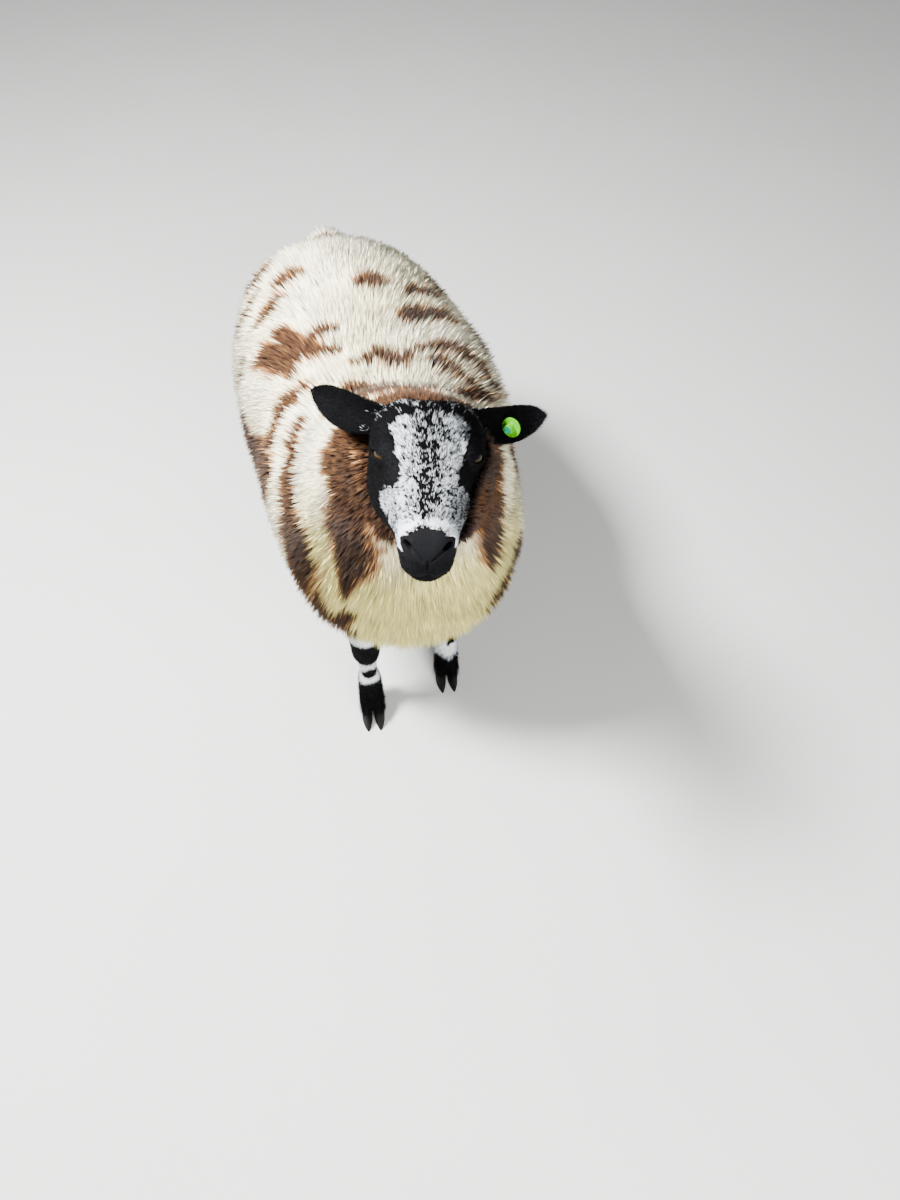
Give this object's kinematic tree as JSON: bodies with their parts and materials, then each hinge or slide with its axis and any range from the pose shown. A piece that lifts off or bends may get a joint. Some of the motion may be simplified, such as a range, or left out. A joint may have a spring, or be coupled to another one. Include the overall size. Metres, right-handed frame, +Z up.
{
  "type": "dutch spotted ewe lamb model",
  "caption": "Life-size still model of a standing spotted ewe lamb with its head raised, woolly fleece, bare dark legs and a tagged ear.",
  "frame": {"origin": "centre of the box under the soles, on the floor", "axes": "+Z up, -Y towards the nose, +X towards the lamb's left side"},
  "size_m": [0.4512, 1.0012, 0.7984],
  "materials": {
    "fleece": "cream wool with brown patches, matt and fibrous",
    "hide": "short black hair with white marks, matt",
    "horn": "dark hoof horn, slightly worn",
    "eye": "amber eye with a level dark pupil, wet gloss",
    "tag_leaf": "yellow-green moulded plastic, bare",
    "tag_cap": "teal moulded plastic"
  },
  "bodies": {
    "root": {"torso": "fleece", "neck": "fleece", "tail": "fleece", "head": "hide", "ear_left": "hide", "ear_right": "hide", "leg_fore_left": "hide", "leg_fore_right": "hide", "leg_hind_left": "hide", "leg_hind_right": "hide", "claw_fore_left_left": "horn", "claw_fore_left_right": "horn", "claw_fore_right_left": "horn", "claw_fore_right_right": "horn", "claw_hind_left_left": "horn", "claw_hind_left_right": "horn", "claw_hind_right_left": "horn", "claw_hind_right_right": "horn", "eye_left": "eye", "eye_right": "eye", "ear_tag_front": "tag_leaf", "ear_tag_back": "tag_leaf", "ear_tag_cap": "tag_cap"}
  },
  "joints": []
}
